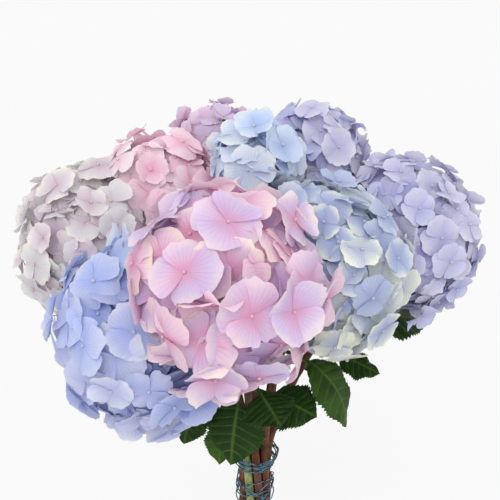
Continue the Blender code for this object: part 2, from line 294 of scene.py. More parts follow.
@dataclass(frozen=True)
class PetalFinish:
    """Fresh hydrangea sepals: thin, matt and slightly see-through, so edges glow and folds stay soft.

    heart is the colour at a floret's middle, blade and other_blade are what the florets vary between,
    margin is the rim, and deep is painted shade: the colour that the inner florets, low between the outer
    ones, are darkened towards, and half of the veins' real stain. The amounts are how strongly the
    rim and the heart show, and through is the share of light that passes a sepal.
    """

    slot: str
    heart: str
    blade: str
    other_blade: str
    margin: str
    painted_shade_and_vein: str
    margin_amount: float = 0.7
    heart_amount: float = 0.7
    bud: str = "#f4efe0"
    through: float = 0.34

    def material(self) -> bpy.types.Material:
        """Colours each sepal from its middle to its rim, floret by floret, with fine veins that fan out.

        The tint drifts between the two blade colours over 26 mm, the rim is ragged over 7 mm and the
        skin's grain is 1.6 mm, drawn coarser than real so that it shows. The veins, up to five a side,
        are where the cosine of the distance across comes near zero.

        Returns:
            The material.
        """
        material, add = new_material(f"hydrangea sepal {self.slot}")
        # deep is the painted shade colour of the inner florets, also mixed into the veins' stain.
        heart, painted_shade_and_vein = linear(self.heart), linear(self.painted_shade_and_vein)
        place = add("TexCoord", out="Object")
        along, across, tone = add(
            "SeparateXYZ", {0: add("Attribute", out="Vector", attribute_name="sepal")}).node.outputs
        # The floret attribute holds the cream rim amount, the layer's painted shade and whether it is a bud.
        cream, painted_shade, bud = add(
            "SeparateXYZ", {0: add("Attribute", out="Vector", attribute_name="floret")}).node.outputs

        clouds = add("TexNoise", {"Vector": place, "Scale": 1 / (26 * MM), "Detail": 2.0, "Roughness": 0.55})
        tone = add("Math", {0: tone, 1: -0.45}, operation="ADD")
        mixed = add("Math", {0: clouds, 1: 0.9, 2: tone}, operation="MULTIPLY_ADD")
        share = add("MapRange", {0: mixed, 1: 0.15, 2: 0.85}, **SMOOTHLY)
        body = add("Mix", {0: share, 6: linear(self.blade), 7: linear(self.other_blade)}, 2, **IN_COLOUR)

        near = add("MapRange", {0: along, 1: 0.66, 2: 0.02, 3: 0.0, 4: self.heart_amount}, **SMOOTHLY)
        strong = add("MapRange", {0: mixed, 1: 0.1, 2: 1.0, 3: 1.0, 4: 0.55}, **SMOOTHLY)
        near = add("Math", {0: near, 1: strong}, operation="MULTIPLY")
        body = add("Mix", {0: near, 6: body, 7: heart}, 2, **IN_COLOUR)

        ragged = add("TexNoise", {"Vector": place, "Scale": 1 / (7 * MM), "Detail": 2.0, "Roughness": 0.55})
        rim = add("Math", {0: ragged, 1: 0.30, 2: along}, operation="MULTIPLY_ADD")
        rim = add("MapRange", {0: rim, 1: 0.72, 2: 1.16}, **SMOOTHLY)
        rim = add("Math", {0: rim, 1: cream}, operation="MULTIPLY")
        rim = add("Math", {0: rim, 1: self.margin_amount}, operation="MULTIPLY")
        body = add("Mix", {0: rim, 6: body, 7: linear(self.margin)}, 2, **IN_COLOUR)

        fan = add("Math", {0: along, 1: -1.6, 2: 5.2}, operation="MULTIPLY_ADD")
        fan = add("Math", {0: across, 1: fan}, operation="MULTIPLY")
        fan = add("Math", {0: fan, 1: math.pi}, operation="MULTIPLY")
        line = add("Math", {0: add("Math", {0: fan}, operation="COSINE")}, operation="ABSOLUTE")
        vein = add("MapRange", {0: line, 1: 0.26, 2: 0.02}, **SMOOTHLY)
        fading = add("MapRange", {0: along, 1: 1.02, 2: 0.25, 3: 0.0, 4: 0.62}, **SMOOTHLY)
        stained = add("Math", {0: vein, 1: fading}, operation="MULTIPLY")
        stain = add("Mix", {0: 0.55, 6: heart, 7: painted_shade_and_vein}, 2, **IN_COLOUR)
        body = add("Mix", {0: stained, 6: body, 7: stain}, 2, **IN_COLOUR)

        # Painted shade: the inner layer's florets and buds are darkened towards the deep colour, standing in
        # for the shade low between the outer florets.
        shaded = add("Math", {0: painted_shade, 1: 0.62}, operation="MULTIPLY")
        body = add("Mix", {0: shaded, 6: body, 7: painted_shade_and_vein}, 2, **IN_COLOUR)
        eye = add("Mix", {0: 0.45, 6: heart, 7: linear(self.bud)}, 2, **IN_COLOUR)
        body = add("Mix", {0: bud, 6: body, 7: eye}, 2, **IN_COLOUR)

        grain = add("TexNoise", {"Vector": place, "Scale": 1 / (1.6 * MM), "Detail": 2.0, "Roughness": 0.55})
        relief = add("Math", {0: vein, 1: -0.6, 2: grain}, operation="MULTIPLY_ADD")
        bumps = add("Bump", {"Height": relief, "Distance": 0.22 * MM, "Strength": 0.55})
        skin = add("BsdfPrincipled", {
            "Base Color": body, "Roughness": 0.62, "IOR": 1.40, "Specular IOR Level": 0.30,
            "Sheen Weight": 0.12, "Sheen Roughness": 0.5, "Normal": bumps})
        lit = add("BsdfTranslucent", {"Color": body})
        add("OutputMaterial", {0: add("MixShader", {0: self.through, 1: skin, 2: lit})})
        return material


@dataclass(frozen=True)
class LeafFinish:
    """Hydrangea leaf: a waxy dark green upper side, paler below, with light veins in a quilted blade."""

    top: str = "#1c380b"
    young: str = "#456a1a"
    under: str = "#4a6a30"
    vein: str = "#5d7c35"
    mottle: str = "#1c3010"
    glow: str = "#6d8f2a"
    through: float = 0.16

    def material(self) -> bpy.types.Material:
        """Colours the two sides, the veins, the lighter young patches of 18 mm and the 2.2 mm mottling.

        Returns:
            The material.
        """
        material, add = new_material("hydrangea leaf")
        place = add("TexCoord", out="Object")
        vein, young, side = add(
            "SeparateXYZ", {0: add("Attribute", out="Vector", attribute_name="veins")}).node.outputs
        clouds = add("TexNoise", {"Vector": place, "Scale": 1 / (18 * MM), "Detail": 3.0, "Roughness": 0.55})
        patch = add("Math", {0: clouds, 1: young}, operation="ADD")
        patch = add("MapRange", {0: patch, 1: 0.55, 2: 1.35}, **SMOOTHLY)
        green = add("Mix", {0: patch, 6: linear(self.top), 7: linear(self.young)}, 2, **IN_COLOUR)
        spots = add("TexNoise", {"Vector": place, "Scale": 1 / (2.2 * MM), "Detail": 2.0, "Roughness": 0.55})
        spots = add("MapRange", {0: spots, 1: 0.3, 2: 0.8, 3: 0.0, 4: 0.22}, **SMOOTHLY)
        green = add("Mix", {0: spots, 6: green, 7: linear(self.mottle)}, 2, **IN_COLOUR)
        green = add("Mix", {0: side, 6: green, 7: linear(self.under)}, 2, **IN_COLOUR)
        light = add("Math", {0: vein, 1: 0.8}, operation="MULTIPLY")
        green = add("Mix", {0: light, 6: green, 7: linear(self.vein)}, 2, **IN_COLOUR)

        grain = add("TexNoise", {"Vector": place, "Scale": 1 / (1.3 * MM), "Detail": 3.0, "Roughness": 0.55})
        relief = add("Math", {0: vein, 1: -0.7, 2: grain}, operation="MULTIPLY_ADD")
        bumps = add("Bump", {"Height": relief, "Distance": 0.35 * MM, "Strength": 0.6})
        skin = add("BsdfPrincipled", {"Base Color": green, "Roughness": 0.52, "Specular IOR Level": 0.16,
                                      "Normal": bumps})
        glow = add("Mix", {0: 0.4, 6: green, 7: linear(self.glow)}, 2, **IN_COLOUR)
        lit = add("BsdfTranslucent", {"Color": glow})
        add("OutputMaterial", {0: add("MixShader", {0: self.through, 1: skin, 2: lit})})
        return material


@dataclass(frozen=True)
class BarkFinish:
    """Woody hydrangea stem: rough brown bark that flakes along the stem over paler wood."""

    name: str
    bark: str
    pale: str
    dark: str
    roughness: float = 0.78

    def material(self) -> bpy.types.Material:
        """Streaks of bark 2.6 mm wide and some 16 mm long, dark flakes of 1.1 mm, and scars at the joints.

        The streaks are noise in the stem's own length and girth, with its length drawn in to 0.16.

        Returns:
            The material.
        """
        material, add = new_material(self.name)
        along, turn, scar = add(
            "SeparateXYZ", {0: add("Attribute", out="Vector", attribute_name="stem")}).node.outputs
        drawn = add("Math", {0: along, 1: 0.16}, operation="MULTIPLY")
        spot = add("CombineXYZ", {0: drawn, 1: turn, 2: scar})
        streak = add("TexNoise", {"Vector": spot, "Scale": 1 / (2.6 * MM), "Detail": 4.0, "Roughness": 0.65})
        flake = add("TexNoise", {"Vector": spot, "Scale": 1 / (1.1 * MM), "Detail": 3.0, "Roughness": 0.6})
        share = add("MapRange", {0: streak, 1: 0.34, 2: 0.66}, **SMOOTHLY)
        wood = add("Mix", {0: share, 6: linear(self.bark), 7: linear(self.pale)}, 2, **IN_COLOUR)
        flaked = add("MapRange", {0: flake, 1: 0.56, 2: 0.72, 3: 0.0, 4: 0.75}, **SMOOTHLY)
        scarred = add("Math", {0: scar, 1: 0.6}, operation="MULTIPLY")
        for mark in (flaked, scarred):
            wood = add("Mix", {0: mark, 6: wood, 7: linear(self.dark)}, 2, **IN_COLOUR)
        relief = add("Math", {0: flake, 1: 0.5, 2: streak}, operation="MULTIPLY_ADD")
        bumps = add("Bump", {"Height": relief, "Distance": 0.6 * MM, "Strength": 0.8})
        skin = add("BsdfPrincipled", {"Base Color": wood, "Roughness": self.roughness, "Normal": bumps})
        add("OutputMaterial", {0: skin})
        return material


@dataclass(frozen=True)
class WireFinish:
    """Florist's binding wire: thin steel wire under a blue-grey lacquer, satin with small bright glints."""

    lacquer: str = "#43728a"
    worn: str = "#1d3440"

    def material(self) -> bpy.types.Material:
        """Lacquer with darker worn stretches about 4 mm long.

        Returns:
            The material.
        """
        material, add = new_material("lacquered binding wire")
        place = add("TexCoord", out="Object")
        wear = add("TexNoise", {"Vector": place, "Scale": 1 / (4 * MM), "Detail": 3.0, "Roughness": 0.55})
        wear = add("MapRange", {0: wear, 1: 0.42, 2: 0.66}, **SMOOTHLY)
        coat = add("Mix", {0: wear, 6: linear(self.lacquer), 7: linear(self.worn)}, 2, **IN_COLOUR)
        grain = add("TexNoise", {"Vector": place, "Scale": 1 / (0.8 * MM), "Detail": 2.0, "Roughness": 0.55})
        bumps = add("Bump", {"Height": grain, "Distance": 0.08 * MM, "Strength": 0.4})
        skin = add("BsdfPrincipled", {"Base Color": coat, "Metallic": 0.35, "Roughness": 0.34,
                                      "Coat Weight": 0.3, "Normal": bumps})
        add("OutputMaterial", {0: skin})
        return material


@dataclass(frozen=True)
class GlazeFinish:
    """Stoneware under a satin off-white glaze: a soft broad gloss over faint specks and throwing rings."""

    glaze: str = "#ece7dd"
    warm: str = "#e5decf"
    speck: str = "#8c7a62"

    def material(self) -> bpy.types.Material:
        """Glaze that varies over 60 mm, with iron specks of 0.6 to 1 mm some 5.5 mm apart.

        Returns:
            The material.
        """
        material, add = new_material("satin glazed stoneware")
        place = add("TexCoord", out="Object")
        cloud = add("TexNoise", {"Vector": place, "Scale": 1 / (60 * MM), "Detail": 3.0, "Roughness": 0.55})
        cloud = add("MapRange", {0: cloud, 1: 0.35, 2: 0.70}, **SMOOTHLY)
        body = add("Mix", {0: cloud, 6: linear(self.glaze), 7: linear(self.warm)}, 2, **IN_COLOUR)
        iron = add("TexVoronoi", {"Vector": place, "Scale": 1 / (5.5 * MM)}, "Distance")
        iron = add("MapRange", {0: iron, 1: 0.10, 2: 0.055}, **SMOOTHLY)
        faint = add("Math", {0: iron, 1: 0.55}, operation="MULTIPLY")
        body = add("Mix", {0: faint, 6: body, 7: linear(self.speck)}, 2, **IN_COLOUR)
        ripple = add("TexNoise", {"Vector": place, "Scale": 1 / (9 * MM), "Detail": 2.0, "Roughness": 0.55})
        relief = add("Math", {0: iron, 1: -0.5, 2: ripple}, operation="MULTIPLY_ADD")
        bumps = add("Bump", {"Height": relief, "Distance": 0.12 * MM, "Strength": 0.5})
        skin = add("BsdfPrincipled", {"Base Color": body, "Roughness": 0.33, "IOR": 1.52,
                                      "Coat Weight": 0.25, "Coat Roughness": 0.18, "Normal": bumps})
        add("OutputMaterial", {0: skin})
        return material


# ---------------------------------------------------------------- flower heads
class Colouring(Enum):
    """The colourings of the bunch's heads."""

    # Each finish's last colour is deep, the painted shade colour of the inner florets, also used in the
    # veins.
    PINK = PetalFinish("petals_pink", "#df84b0", "#f0d0e0", "#d4c4e6", "#f9f0dd", "#b186c2",
                       margin_amount=0.9, heart_amount=0.72)
    ROSE = PetalFinish("petals_rose", "#ee9fc0", "#f7d3e3", "#f0e4ea", "#f9eae6", "#c27fa8",
                       margin_amount=0.5, heart_amount=0.55)
    LILAC = PetalFinish("petals_lilac", "#cf9cc4", "#e8cede", "#dacbe4", "#f0e6e6", "#9f7aae",
                        margin_amount=0.5, heart_amount=0.5)
    PEARL = PetalFinish("petals_pearl", "#c49fb6", "#e2d2de", "#dedee0", "#f2efe0", "#ae93aa",
                        margin_amount=0.85, heart_amount=0.5)
    BLUE = PetalFinish("petals_blue", "#91a3e4", "#b9c6ec", "#d2d5ee", "#eceee6", "#8390c8",
                       margin_amount=0.6, heart_amount=0.5)
    PALE_BLUE = PetalFinish("petals_pale_blue", "#93aae2", "#bfd0f0", "#dae2ee", "#f2f6e4", "#8199cc",
                            margin_amount=0.75, heart_amount=0.5)
    LAVENDER = PetalFinish("petals_lavender", "#a0a3da", "#c4c8e8", "#d2cfe4", "#e8e8e8", "#8587bc",
                           margin_amount=0.6, heart_amount=0.5)
    MIST = PetalFinish("petals_mist_blue", "#92a0d4", "#b9c4e0", "#e2e6dc", "#f4f6e0", "#8892b8",
                       margin_amount=0.95, heart_amount=0.5)


@dataclass(frozen=True)
class HeadPlace:
    """A flower head's place, from the tie, and how it is filled.

    azimuth is from +X towards +Y and lean from vertical, both in degrees; reach and radius are in metres.
    floret is a floret's width in metres and crowding how many times over the florets would cover the head.
    drift points to the side of the head where the florets are nearest to the finish's other colour, and
    seed sets how the florets fall.
    """

    name: str
    azimuth: float
    lean: float
    reach: float
    radius: float
    colouring: Colouring
    floret: float
    crowding: float
    drift: tuple[float, float, float]
    seed: int

    @property
    def centre(self) -> np.ndarray:
        """The head's centre, from the tie by azimuth, lean and reach.

        Returns:
            The point.
        """
        lean = math.radians(self.lean)
        flat = self.reach * math.sin(lean)
        return TIE + around(math.radians(self.azimuth), flat, self.reach * math.cos(lean))

    @property
    def axis(self) -> np.ndarray:
        """The direction that the head faces."""
        return unit(self.centre - TIE - (0, 0, LEAN_PIVOT))

    @property
    def seat(self) -> np.ndarray:
        """Where the stem meets the head."""
        return self.centre - self.axis * (UNDERSIDE * self.radius + STEM_GAP)


HEADS = [
    HeadPlace("right_front", -22, 13.1, 0.238, 0.081, Colouring.MIST, 0.035, 2.0, (0.1, 0.2, -0.9), 200),
    HeadPlace("right", 26, 34.0, 0.257, 0.077, Colouring.LAVENDER, 0.034, 2.0, (0.4, 0.0, 0.5), 901),
    HeadPlace("back_right", 65, 25.9, 0.297, 0.053, Colouring.LAVENDER, 0.035, 1.9, (0.4, 0.0, 0.3), 602),
    HeadPlace("back_left", 103, 28.6, 0.293, 0.053, Colouring.LILAC, 0.032, 1.9, (0.0, 0.0, 0.4), 703),
    HeadPlace("left_back", 141, 23.8, 0.268, 0.067, Colouring.ROSE, 0.036, 1.9, (-0.8, 0.0, 0.2), 104),
    HeadPlace("left", 163, 32.8, 0.259, 0.078, Colouring.PEARL, 0.034, 2.0, (-0.4, 0.0, 0.2), 705),
    HeadPlace("left_front", 218, 28.1, 0.232, 0.084, Colouring.BLUE, 0.043, 1.8, (0.2, 0.0, -0.5), 306),
    HeadPlace("front", 257, 20.8, 0.283, 0.084, Colouring.PINK, 0.050, 1.6, (0.0, 0.0, -0.4), 307),
    HeadPlace("top", 91, 6.3, 0.308, 0.041, Colouring.PALE_BLUE, 0.038, 1.8, (0.0, -0.6, 0.2), 408),
]


def spread_directions(count: int, cover: float, rng: np.random.Generator) -> np.ndarray:
    """Directions spread evenly but not regularly over a cap round +Z.

    They start on a golden spiral, are shaken by a third of their spacing, then push each other apart.

    Args:
        count: How many.
        cover: The cap's angle from its pole to its edge, in radians.
        rng: Where the shaking comes from.

    Returns:
        Unit vectors, (count, 3).
    """
    i = np.arange(count) + 0.5
    z = 1 - (1 - math.cos(cover)) * i / count
    flat = np.sqrt(1 - z**2)
    found = np.stack([flat * np.cos(i * GOLDEN_TURN), flat * np.sin(i * GOLDEN_TURN), z], -1)
    spacing = math.sqrt(2 * math.pi * (1 - math.cos(cover)) / count)
    found = unit(found + rng.normal(0, spacing / 3, found.shape))
    for _ in range(8):
        apart = found[:, None] - found[None]
        distance = np.linalg.norm(apart, axis=-1) + np.eye(count)
        push = np.clip(1.1 * spacing - distance, 0, None) * (1 - np.eye(count))
        found = unit(found + 0.3 * (apart / distance[..., None] * push[..., None]).sum(1))
    return found


def storeys(places: np.ndarray, near: float, levels: int) -> np.ndarray:
    """Gives each floret a storey that its neighbours don't have, so overlapping florets lie one over another.

    Args:
        places: Points, (n, 3).
        near: How close counts as a neighbour.
        levels: How many storeys there are.

    Returns:
        Storey numbers, (n,).
    """
    distance = np.linalg.norm(places[:, None] - places[None], axis=-1)
    chosen = np.full(len(places), -1)
    for i in range(len(places)):
        crowd = [np.exp(-(distance[i][chosen == level] / near) ** 2).sum() for level in range(levels)]
        chosen[i] = int(np.argmin(crowd))
    return chosen


@dataclass(frozen=True)
class Layer:
    """A layer of florets over a head.

    share is how many florets it has against the outer layer. It lies below the solid's surface by depth
    in metres and by floret_depth in floret widths. width is against the head's floret, shade is how much
    painted shade darkens its colour, from 0 to 1, rows and columns are a sepal's points, and tilt is in
    radians.
    """

    share: float = 1.0
    depth: float = 0.0
    floret_depth: float = 0.0
    width: float = 1.0
    shade: float = 0.0
    rows: int = 8
    columns: int = 12
    tilt: float = 0.26


@dataclass(frozen=True)
class SepalShape:
    """How sepals vary. A pair is the two ends of an even spread, but cup_deviation is the floret's
    deviation and then each sepal's.

    Lengths are against half the floret's width, and widths, waves and heights against the length. A
    cupped floret is one that hasn't opened flat, and a paired one has two sepals over the other two.
    """

    floret_size: tuple[float, float] = (0.90, 1.12)
    length: tuple[float, float] = (0.88, 1.10)
    half_width: tuple[float, float] = (0.62, 0.80)
    squareness: tuple[float, float] = (0.36, 0.52)
    nick: float = 0.020
    ragged: float = 0.024
    point: float = 0.045
    point_width: float = 0.2
    cup_mean: float = -0.09
    cup_deviation: tuple[float, float] = (0.10, 0.06)
    roll_mean: float = -0.06
    roll_deviation: float = 0.09
    wave: tuple[float, float] = (0.03, 0.095)
    frill: tuple[float, float] = (0.012, 0.032)
    lift: float = 0.075
    paired_share: float = 0.45
    askew: float = 0.09
    cupped_share: float = 0.6
    cupped_height: float = 0.30
    cupped_shortening: float = 0.12


@dataclass
class FlowerHead:
    """A mophead: large four-sepalled florets over a ball, an inner layer behind them, and their stalks."""

    place: HeadPlace
    cover: float = math.radians(132)
    storey_count: int = 4
    storey_gap: float = 0.0042
    overhang: float = 0.005
    outer: Layer = Layer(depth=0.0016, tilt=0.26)
    # The inner layer is darkened with painted shade, standing in for the shade under the outer florets.
    inner: Layer = Layer(share=0.8, floret_depth=0.34, width=1.05, shade=0.5, rows=5, columns=6, tilt=0.3)
    sepal: SepalShape = SepalShape()
    bud_radius: float = 0.0015
    arms: int = 11
    arm_cover: float = math.radians(82)
    arm_reach: float = 0.42
    arm_radius: float = 0.0017
    stalk_radius: float = 0.00062

    def __post_init__(self) -> None:
        """Sets up the head's own axes, its solid and its random source."""
        self.rng = np.random.default_rng(self.place.seed)
        axis = self.place.axis
        side = unit(np.cross(axis, (0.2, -1.0, 0.1)))
        self.axes = np.stack([side, np.cross(axis, side), axis])
        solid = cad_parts[f"head_{self.place.name}"].data
        corners = np.empty(3 * len(solid.vertices), np.float32)
        solid.vertices.foreach_get("co", corners)
        self.solid = BVHTree.FromPolygons(corners.reshape(-1, 3).tolist(),
                                          [tuple(p.vertices) for p in solid.polygons])

    def reach(self, directions: np.ndarray) -> np.ndarray:
        """How far the head's solid reaches from its centre.

        Args:
            directions: Unit vectors, (n, 3).

        Returns:
            Lengths, (n,).
        """
        centre = Vector(self.place.centre)
        far = [self.solid.ray_cast(centre, Vector(d))[3] for d in directions]
        return np.array([self.place.radius if f is None else f for f in far])

    def floret_frames(self, count: int, layer: Layer) -> tuple[np.ndarray, np.ndarray, np.ndarray]:
        """Places florets over the head.

        Each is tipped at random, a quarter of them over twice as far as the rest, and sunk by its storey and
        by how far it is tipped, so its rim stays near the solid. Those low on the head stand out a little.

        Args:
            count: How many florets.
            layer: The layer they are in.

        Returns:
            Their middles, (count, 3), their axes as rows, (count, 3, 3), the last one outwards, and which
            of them are in the top storey, (count,).
        """
        directions = spread_directions(count, self.cover, self.rng) @ self.axes
        reach = self.reach(directions)
        spacing = self.place.radius * math.sqrt(2 * math.pi * (1 - math.cos(self.cover)) / count)
        storey = storeys(directions * self.place.radius, spacing, self.storey_count)
        tilts = np.where(self.rng.random((count, 1)) < 0.25, 1.9 * layer.tilt, 0.85 * layer.tilt)
        facing = unit(directions + self.rng.normal(0, 1, directions.shape) * tilts)
        lean = np.linalg.norm(np.cross(facing, directions), axis=-1)
        depth = layer.depth + layer.floret_depth * self.place.floret
        sink = depth + storey * self.storey_gap + 0.26 * self.place.floret * lean
        low = smooth(-0.15, -0.55, directions @ self.axes[2])
        middles = self.place.centre + directions * (reach - sink + self.overhang * low)[:, None]
        spin = unit(np.cross(facing, self.rng.normal(0, 1, facing.shape)))
        return middles, np.stack([spin, np.cross(facing, spin), facing], 1), storey == 0

    def sepals(self, layer: Layer, free: np.ndarray) -> tuple[np.ndarray, np.ndarray]:
        """Shapes the four sepals of each floret, in the floret's own axes.

        A sepal runs out along x. Column t from -1 to 1 ends on an ellipse, so the tip is round, and row s
        from the claw to the rim widens quickly and then holds. z adds a shallow cup or reflex with the
        square of the distance out, a roll across, slow waves that grow to the rim and a lift on one side,
        which lays each sepal over its neighbour.

        Args:
            layer: The layer the florets are in.
            free: Which florets are in the top storey, and so have room to cup, (count,).

        Returns:
            Points, (count, 4, rows, columns, 3), and the sepal attribute in the same shape.
        """
        rng, sepal, count = self.rng, self.sepal, len(free)
        shape, each = (count, 4, 1, 1), (count, 1, 1, 1)
        s = np.linspace(0.05, 1, layer.rows)[None, None, :, None]
        t = np.linspace(-1, 1, layer.columns)[None, None, None, :]
        cupped = ((rng.random(each) < sepal.cupped_share) & free[:, None, None, None]).astype(float)
        length = 0.5 * layer.width * self.place.floret * (1 - sepal.cupped_shortening * cupped)
        length = length * rng.uniform(*sepal.floret_size, each)
        length = length * rng.uniform(*sepal.length, shape)
        half = length * rng.uniform(*sepal.half_width, shape)
        squareness = rng.uniform(*sepal.squareness, shape)
        rim = (1 - squareness) + squareness * np.sqrt(1 - 0.93 * t**2)
        phase = rng.uniform(0, 2 * math.pi, shape)
        ragged = rng.normal(0, sepal.ragged, (count, 4, 1, layer.columns)) * s**3
        nick = 1 + sepal.nick * np.sin(5.1 * t + phase) + ragged
        point = sepal.point * np.exp(-((t / sepal.point_width) ** 2)) * s**4
        x = length * (rim * nick * s + point)
        y = half * t * (1 - (1 - s) ** 1.7) * (1 - 0.10 * s**5)
        out = x / length
        cup = rng.normal(sepal.cup_mean, sepal.cup_deviation[0], each)
        cup = cup + rng.normal(0, sepal.cup_deviation[1], shape) + sepal.cupped_height * cupped
        roll = rng.normal(sepal.roll_mean, sepal.roll_deviation, shape)
        wave = rng.uniform(*sepal.wave, shape)
        frill = rng.uniform(*sepal.frill, shape)
        turning = np.where(rng.random(each) < 0.5, -1.0, 1.0)
        paired = rng.random(each) < sepal.paired_share
        order = np.array([1.0, -1.0, 1.0, -1.0]).reshape(1, 4, 1, 1)
        lift = np.where(paired, order * t**2, turning * t) * sepal.lift
        z = length * (cup * out**2 + roll * t**2 * s + wave * s**2 * np.sin(2.6 * t + phase + 2.2 * s)
                      + frill * s**4 * np.sin(8.5 * t + 3 * phase) + lift * s)
        turn = np.arange(4).reshape(1, 4, 1, 1) * math.pi / 2 + rng.normal(0, sepal.askew, shape)
        flat = np.stack([x * np.cos(turn) - y * np.sin(turn), x * np.sin(turn) + y * np.cos(turn), z], -1)
        tone = rng.uniform(0, 0.8, each) + rng.uniform(0, 0.2, shape)
        return flat, np.stack(np.broadcast_arrays(out, t, tone), -1)

    def buds(self, count: int, rows: int = 4, columns: int = 7) -> np.ndarray:
        """The bud at each floret's middle: the upper part of a small flattened ball.

        Args:
            count: How many florets.
            rows: Points from its top to its foot.
            columns: Points round it.

        Returns:
            Points in the floret's own axes, (count, rows, columns, 3).
        """
        size = self.bud_radius * self.rng.uniform(0.85, 1.2, (count, 1, 1))
        polar = np.linspace(0, 0.75 * math.pi, rows)[None, :, None]
        turn = np.linspace(0, 2 * math.pi, columns)[None, None, :]
        ball = np.broadcast_arrays(np.sin(polar) * np.cos(turn), np.sin(polar) * np.sin(turn),
                                   0.8 * np.cos(polar) + 0.5)
        return np.stack([size * part for part in ball], -1)

    def add_florets(self, surface: Surface, count: int, layer: Layer) -> tuple[np.ndarray, np.ndarray]:
        """Adds one layer of florets to the head.

        Args:
            surface: The mesh to add to.
            count: How many florets the outer layer has.
            layer: The layer to add.

        Returns:
            The florets' middles and facings.
        """
        count = round(layer.share * count)
        middles, axes, free = self.floret_frames(count, layer)
        flat, sepal = self.sepals(layer, free)
        placed = np.einsum("nkrci,nij->nkrcj", flat, axes) + middles[:, None, None, None]
        drift = (middles - self.place.centre) / self.place.radius @ np.array(self.place.drift)
        sepal[..., 2] += 0.5 * drift[:, None, None, None]
        cream = self.rng.beta(1.3, 1.3, (count, 1, 1, 1))
        # The floret attribute: cream rim amount, the layer's painted shade, and 1 for a bud.
        floret = np.broadcast_to(np.stack([cream, 0 * cream + layer.shade, 0 * cream], -1), placed.shape)
        one_by_one = (-1, layer.rows, layer.columns, 3)
        surface.add(placed.reshape(one_by_one), True, sepal=sepal.reshape(one_by_one),
                    floret=floret.reshape(one_by_one))
        buds = np.einsum("nrci,nij->nrcj", self.buds(count), axes) + middles[:, None, None]
        surface.add(buds, True, sepal=np.array([0.0, 0.0, 0.5]), floret=np.array([0.0, layer.shade, 1.0]))
        return middles, axes[:, 2]

    def add_stalks(self, surface: Surface, middles: np.ndarray, facings: np.ndarray) -> None:
        """Adds the branches: thick arms from the stem's top, and from their ends one stalk to each floret.

        Args:
            surface: The mesh to add to.
            middles: The florets' middles, (n, 3).
            facings: The florets' facings, (n, 3).
        """
        place = self.place
        ends = spread_directions(self.arms, self.arm_cover, self.rng) @ self.axes
        seat = np.broadcast_to(place.seat, (self.arms, 3))
        knots = place.centre + ends * (self.arm_reach * self.reach(ends))[:, None]
        pull = seat + place.axis * 0.30 * place.radius
        taper = np.linspace(1, 0.62, 7)[None, :, None]
        arm = tubes(bent_lines(seat, pull, knots, 7), taper * self.arm_radius, 6)
        surface.add(arm, stem=self.stalk_layer(arm))
        outward = unit(middles - place.centre)
        start, end = knots[np.argmax(outward @ ends.T, axis=1)], middles - facings * 0.0006
        pull = 0.45 * start + 0.55 * end - facings * 0.010
        thin = tubes(bent_lines(start, pull, end, 6), np.full((1, 6, 1), self.stalk_radius), 5)
        surface.add(thin, stem=self.stalk_layer(thin))

    def stalk_layer(self, grid: np.ndarray) -> np.ndarray:
        """The stem attribute of thin stalks: distance along, distance round, and no scars.

        Args:
            grid: The stalks' points, (copies, rows, columns, 3).

        Returns:
            The attribute in the same shape.
        """
        copies, rows, columns, _ = grid.shape
        along = np.linspace(0, 0.04, rows)[None, :, None] + self.rng.uniform(0, 1, (copies, 1, 1))
        girth = np.linspace(0, 0.006, columns)[None, None, :]
        return np.stack(np.broadcast_arrays(along, girth, 0.0), -1)

    def build(self, petals: bpy.types.Material, stalks: bpy.types.Material) -> None:
        """Builds the florets and the stalks as two pieces and dresses them.

        Args:
            petals: The florets' material.
            stalks: The stalks' material.
        """
        place = self.place
        area = 2 * math.pi * place.radius**2 * (1 - math.cos(self.cover))
        count = round(place.crowding * area / (math.pi * (place.floret / 2) ** 2))
        florets = Surface(f"florets_{place.name}")
        middles, facings = self.add_florets(florets, count, self.outer)
        self.add_florets(florets, count, self.inner)
        florets.piece(petals, place.colouring.value.slot, f"head_{place.name}")
        branches = Surface(f"flower_stalks_{place.name}")
        self.add_stalks(branches, middles, facings)
        branches.piece(stalks, "green_stem")


# ---------------------------------------------------------------- stems
def stem_line(index: int, below: int = 60, above: int = 90) -> np.ndarray:
    """The centreline of a stem: a straight line of the hand-tied spiral up to the tie, then a curve.

    The curve is a cubic that leaves along the spiral's line and arrives along the head's axis.

    Args:
        index: The stem's slot at the tie; the last one is in the middle.
        below: Points below the tie.
        above: Points above it.

    Returns:
        Points, (below + above, 3).
    """
    place = HEADS[index]
    slot = 2 * math.pi * index / OUTER_STEMS + SLOT_TURN
    middle = index == OUTER_STEMS
    waist = TIE + around(slot, 0.0 if middle else SLOT_RADIUS)
    direction = np.array([0.0, 0.0, 1.0]) - around(slot + math.pi / 2, 0.0 if middle else STEM_SPIRAL)
    down = (TIE[2] - STEM_FOOT) * (1 - np.linspace(0, 1, below, endpoint=False))[:, None]
    pull = np.linalg.norm(place.seat - waist)
    t = np.linspace(0, 1, above)[:, None]
    start, end = 2 * t**3 - 3 * t**2 + 1, 3 * t**2 - 2 * t**3
    leave, arrive = t**3 - 2 * t**2 + t, t**3 - t**2
    up = start * waist + end * place.seat + (leave * direction + arrive * place.axis) * pull
    return np.concatenate([waist - direction * down, up])


